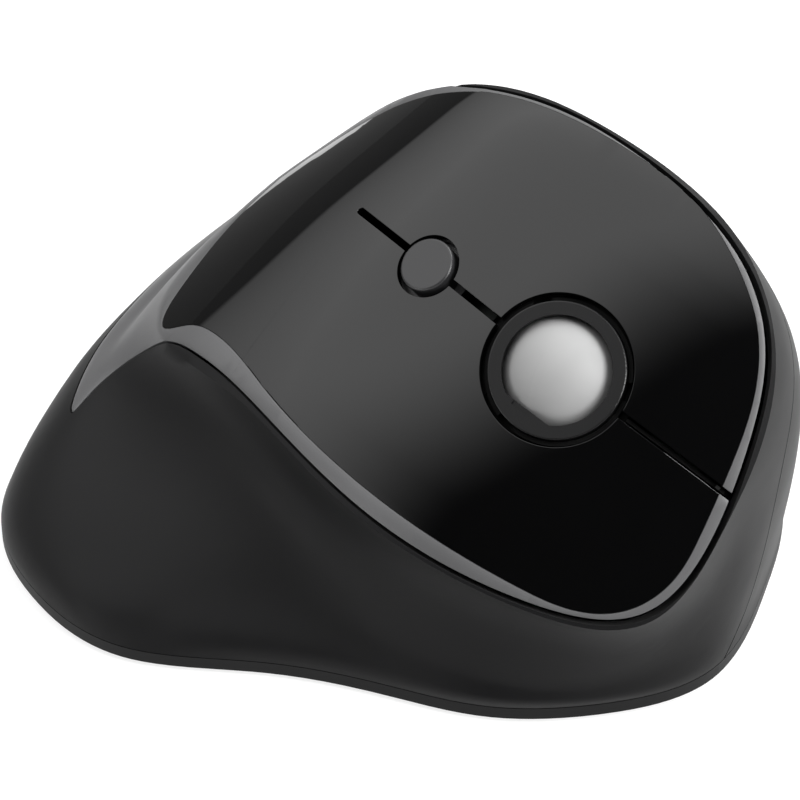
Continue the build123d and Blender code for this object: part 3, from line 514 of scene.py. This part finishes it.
# ---------------------------------------------------------------- pieces
class MOUSE_OT_panel(bpy.types.Operator):
    """Replace the glossy panel and buttons by unbroken mirror-smooth ones with rounded edges"""

    bl_idname = "mouse.panel"
    bl_label = "Glossy panel"

    def execute(self, context):
        finish = context.scene.mouse_finish
        gloss = moulded_plastic("Piano black", finish.gloss_colour, finish.gloss_roughness, grain_mm=4.0,
                                grain_height_mm=0.0004, wander=0.008)
        sheet = Sheet(top_points(PANELS))
        seam = find_seam()
        for node, name in PANELS.items():
            piece = merged_copy(node, name)
            spared = close_seam(piece.data, seam) | beside(piece.data, TRIMS)
            on_sheet = np.abs(sheet.height(points_of(piece.data))) < ON_SHEET
            chosen = [sharp and on_sheet[list(edge.vertices)].all()
                      for edge, sharp in zip(piece.data.edges, sharp_edges(piece.data, spared))]
            bevel_edges(piece, chosen, finish.edge_round)
            smooth_top(piece, sheet)
            dress(piece.data, gloss)
        return {"FINISHED"}


class MOUSE_OT_trim(bpy.types.Operator):
    """Replace the satin band round the panel by one with rounded edges"""

    bl_idname = "mouse.trim"
    bl_label = "Satin trim"

    def execute(self, context):
        finish = context.scene.mouse_finish
        satin = moulded_plastic("Satin trim", finish.trim_colour, finish.trim_roughness, grain_mm=0.3,
                                grain_height_mm=0.0015, specular=0.35)
        seam = find_seam()
        for node, name in TRIMS.items():
            piece = merged_copy(node, name)
            spared = close_seam(piece.data, seam)
            bevel_edges(piece, sharp_edges(piece.data, spared), finish.edge_round * TRIM_EDGE_SHARE)
            smooth(piece)
            dress(piece.data, satin)
        return {"FINISHED"}


class MOUSE_OT_shells(bpy.types.Operator):
    """Replace the side shells by ones whose walls are whole over the screw bosses"""

    bl_idname = "mouse.shells"
    bl_label = "Side shells"

    def execute(self, context):
        black = side_black(context.scene.mouse_finish)
        for node, name in SHELLS.items():
            piece = merged_copy(node, name)
            for axis in screw_axes():
                close_wall(piece, axis)
            smooth(piece)
            dress(piece.data, black)
        return {"FINISHED"}


class MOUSE_OT_housing(bpy.types.Operator):
    """Give every carried-over part its own finish"""

    bl_idname = "mouse.housing"
    bl_label = "Housing"

    # Material: colour, roughness, grain and its height in mm, what else sets it apart, the parts that wear it.
    FINISHES = {
        "Ring satin": ((0.005, 0.005, 0.0052), 0.28, 0.3, 0.0015, {"specular": 0.35}, ("retaining_ring",)),
        "Key satin": ((0.02, 0.02, 0.021), 0.35, 0.3, 0.002, {},
                      ("dpi_button", "thumb_button_back", "thumb_button_forward", "power_switch")),
        "Board lacquer": ((0.01, 0.06, 0.02), 0.3, 0.8, 0.01, {}, ("sensor_board", "button_board", "main_board")),
        "Plated steel": ((0.6, 0.6, 0.58), 0.3, 0.2, 0.002, {"metal": 1.0},
                         ("battery_contacts", "screws", "ball_bearings")),
        "Foot grey": ((0.09, 0.09, 0.09), 0.55, 0.25, 0.01, {}, ("rubber_feet",)),
        "Battery sleeve": ((0.05, 0.06, 0.08), 0.35, 0.5, 0.002, {}, ("battery",)),
    }
    SIDE_BLACK_PARTS = ("main_shell", "thumb_shell", "base_plate", "battery_door", "usb_receiver")

    def execute(self, context):
        finish = context.scene.mouse_finish
        choice = dict.fromkeys(self.SIDE_BLACK_PARTS, side_black(finish))
        choice["trackball"] = moulded_plastic("Ball grey", finish.ball_colour, 0.5, 0.3, 0.0008, specular=0.25)
        for name, (colour, roughness, grain, height, more, parts) in self.FINISHES.items():
            choice.update(dict.fromkeys(parts, moulded_plastic(name, colour, roughness, grain, height, **more)))
        inner = moulded_plastic("Inner plastic", (0.006, 0.006, 0.006), 0.6, 0.4, 0.005, specular=0.15)
        for node in NODES:
            dress(NODES[node].data, choice.get(node, inner))
        return {"FINISHED"}


# ---------------------------------------------------------------- studio
def plainly_seen(tree):
    """1 for what the camera, mirrors and glass see of the backdrop, 0 for the light it sheds."""
    path = add_node(tree, "ShaderNodeLightPath").outputs
    glossy = combined(tree, "MAXIMUM", path["Is Camera Ray"], path["Is Glossy Ray"])
    return combined(tree, "MAXIMUM", glossy, path["Is Transmission Ray"])


def along(tree, place, way):
    """How far a place lies along a way, in radii of the tent."""
    node = add_node(tree, "ShaderNodeVectorMath", operation="DOT_PRODUCT")
    node.inputs[1].default_value = [part / TENT_RADIUS for part in way]
    tree.links.new(place, node.inputs[0])
    return node.outputs["Value"]


def towards(azimuth, elevation):
    """Direction at an azimuth from +X towards +Y and an elevation."""
    level = math.cos(elevation)
    return Vector((math.cos(azimuth) * level, math.sin(azimuth) * level, math.sin(elevation)))


def unseen(piece):
    """Keep a piece of the studio out of the camera's view, and let the lamps shine through it."""
    piece.visible_camera = False
    piece.visible_shadow = False


class MOUSE_OT_stage(bpy.types.Operator):
    """Set the floor, the light tent, the black card, the lamps, the world and the camera"""

    bl_idname = "mouse.stage"
    bl_label = "Stage"

    def execute(self, context):
        studio = context.scene.mouse_studio
        self.floor()
        self.tent(studio.softbox)
        self.black_card()
        self.world(context)
        for name, (setting, *place) in LAMPS.items():
            self.lamp(context, name, getattr(studio, setting), *place)
        self.camera(context, studio)
        context.scene.view_settings.view_transform = "Standard"
        return {"FINISHED"}

    def floor(self):
        """White table top that keeps the shadow of what stands on it."""
        bpy.ops.object.select_all(action="DESELECT")
        bpy.ops.mesh.primitive_plane_add(size=FLOOR_SIZE, location=(0, 0, 0))
        floor = bpy.context.active_object
        floor.name = "Floor"
        material, tree, shader = new_material("Floor white")
        set_inputs(shader, {"Base Color": (FLOOR_GREY, FLOOR_GREY, FLOOR_GREY, 1), "Roughness": MATT,
                            "Specular IOR Level": 0.0, "Emission Color": (1, 1, 1, 1)})
        tree.links.new(remapped(tree, plainly_seen(tree), 0, 1, 0.0, FLOOR_GLOW), shader.inputs["Emission Strength"])
        floor.data.materials.append(material)

    def tent(self, brightness):
        """Dome whose upper rear side glows and fades out towards the camera's side, and is dark below."""
        bpy.ops.object.select_all(action="DESELECT")
        bpy.ops.mesh.primitive_uv_sphere_add(segments=64, ring_count=48, radius=TENT_RADIUS, location=(0, 0, 0))
        tent = bpy.context.active_object
        tent.name = "Tent"
        bpy.ops.object.mode_set(mode="EDIT")
        bpy.ops.mesh.select_all(action="SELECT")
        bpy.ops.mesh.bisect(plane_co=(0, 0, 1 * MM), plane_no=(0, 0, 1), clear_inner=True)
        bpy.ops.object.mode_set(mode="OBJECT")
        material = bpy.data.materials.new("Tent glow")
        material.use_nodes = True
        tree = material.node_tree
        tree.nodes.clear()
        place = tree.nodes.new("ShaderNodeTexCoord").outputs["Object"]
        across = along(tree, place, TENT_ACROSS)
        height = along(tree, place, TENT_UP)
        fade = remapped(tree, across, *TENT_FADE, TENT_DARK, brightness, easing="SMOOTHSTEP")
        edge = remapped(tree, height, *TENT_EDGE, 0.0, 1.0, easing="SMOOTHSTEP")
        rise = remapped(tree, height, *TENT_RISE)
        softbox = combined(tree, "MULTIPLY", fade, combined(tree, "MULTIPLY", edge, rise))
        dim = remapped(tree, across, *TENT_DIM)
        glow = add_node(tree, "ShaderNodeEmission")
        tree.links.new(combined(tree, "MAXIMUM", softbox, dim), glow.inputs["Strength"])
        output = add_node(tree, "ShaderNodeOutputMaterial")
        tree.links.new(glow.outputs["Emission"], output.inputs["Surface"])
        tent.data.materials.append(material)
        unseen(tent)

    def black_card(self):
        """Card beyond the tail whose mirror image is the dark strip at the rear of the panel."""
        bpy.ops.object.select_all(action="DESELECT")
        bpy.ops.mesh.primitive_plane_add(size=1, location=(0, 0, 0))
        card = bpy.context.active_object
        card.name = "Black card"
        for corner in card.data.vertices:
            corner.co = (CARD_X[corner.co.x > 0], CAD_BOX[0][1] - CARD_AWAY, CARD_Z[corner.co.y > 0])
        material, tree, shader = new_material("Card black")
        set_inputs(shader, {"Base Color": (CARD_GREY, CARD_GREY, CARD_GREY, 1), "Roughness": MATT,
                            "Emission Color": (1, 1, 1, 1), "Emission Strength": CARD_GLOW})
        card.data.materials.append(material)
        unseen(card)
        card.visible_diffuse = False

    def world(self, context):
        world = bpy.data.worlds.new("Studio")
        world.use_nodes = True
        context.scene.world = world
        tree = world.node_tree
        ground = tree.nodes["Background"]
        ground.inputs["Color"].default_value = (1, 1, 1, 1)
        tree.links.new(remapped(tree, plainly_seen(tree), 0, 1, WORLD_LIGHT, WORLD_SEEN), ground.inputs["Strength"])

    def lamp(self, context, name, radiance, azimuth, elevation, width, height):
        data = bpy.data.lights.new(name, "AREA")
        data.shape = "RECTANGLE"
        data.size, data.size_y = width, height
        data.energy = radiance * math.pi * width * height
        lamp = bpy.data.objects.new(name, data)
        context.collection.objects.link(lamp)
        back = towards(math.radians(azimuth), math.radians(elevation))
        lamp.location = back * LAMP_DISTANCE + LAMP_AIM
        lamp.rotation_euler = back.to_track_quat("Z", "Y").to_euler()

    def camera(self, context, studio):
        back = towards(studio.azimuth, studio.elevation)
        right = Vector((-math.sin(studio.azimuth), math.cos(studio.azimuth), 0))
        up = back.cross(right)
        data = bpy.data.cameras.new("Camera")
        data.lens = CAMERA_LENS
        data.sensor_width = CAMERA_SENSOR
        camera = bpy.data.objects.new("Camera", data)
        context.collection.objects.link(camera)
        place = CAMERA_AIM + up * CAMERA_LIFT + back * CAMERA_DISTANCE
        camera.matrix_world = Matrix.Translation(place) @ Matrix((right, up, back)).transposed().to_4x4()
        context.scene.camera = camera


OPERATORS = (MOUSE_OT_panel, MOUSE_OT_trim, MOUSE_OT_shells, MOUSE_OT_housing, MOUSE_OT_stage)


class MOUSE_PT_finish(bpy.types.Panel):
    """Pieces and stage of the trackball mouse, in the order they are made"""

    bl_idname = "MOUSE_PT_finish"
    bl_label = "Trackball mouse"
    bl_space_type = "VIEW_3D"
    bl_region_type = "UI"
    bl_category = "Trackball mouse"

    def draw(self, context):
        for group in (context.scene.mouse_finish, context.scene.mouse_studio):
            box = self.layout.box()
            for key in group.__annotations__:
                box.prop(group, key)
        for operator in OPERATORS:
            self.layout.operator(operator.bl_idname)


CLASSES = (FinishSettings, StudioSettings, *OPERATORS, MOUSE_PT_finish)


def register():
    for cls in CLASSES:
        bpy.utils.register_class(cls)
    bpy.types.Scene.mouse_finish = bpy.props.PointerProperty(type=FinishSettings)
    bpy.types.Scene.mouse_studio = bpy.props.PointerProperty(type=StudioSettings)


def unregister():
    del bpy.types.Scene.mouse_studio
    del bpy.types.Scene.mouse_finish
    for cls in reversed(CLASSES):
        bpy.utils.unregister_class(cls)


def main():
    register()
    bpy.ops.mouse.panel()
    bpy.ops.mouse.trim()
    bpy.ops.mouse.shells()
    bpy.ops.mouse.housing()
    bpy.ops.mouse.stage()


if __name__ == "__main__":
    main()
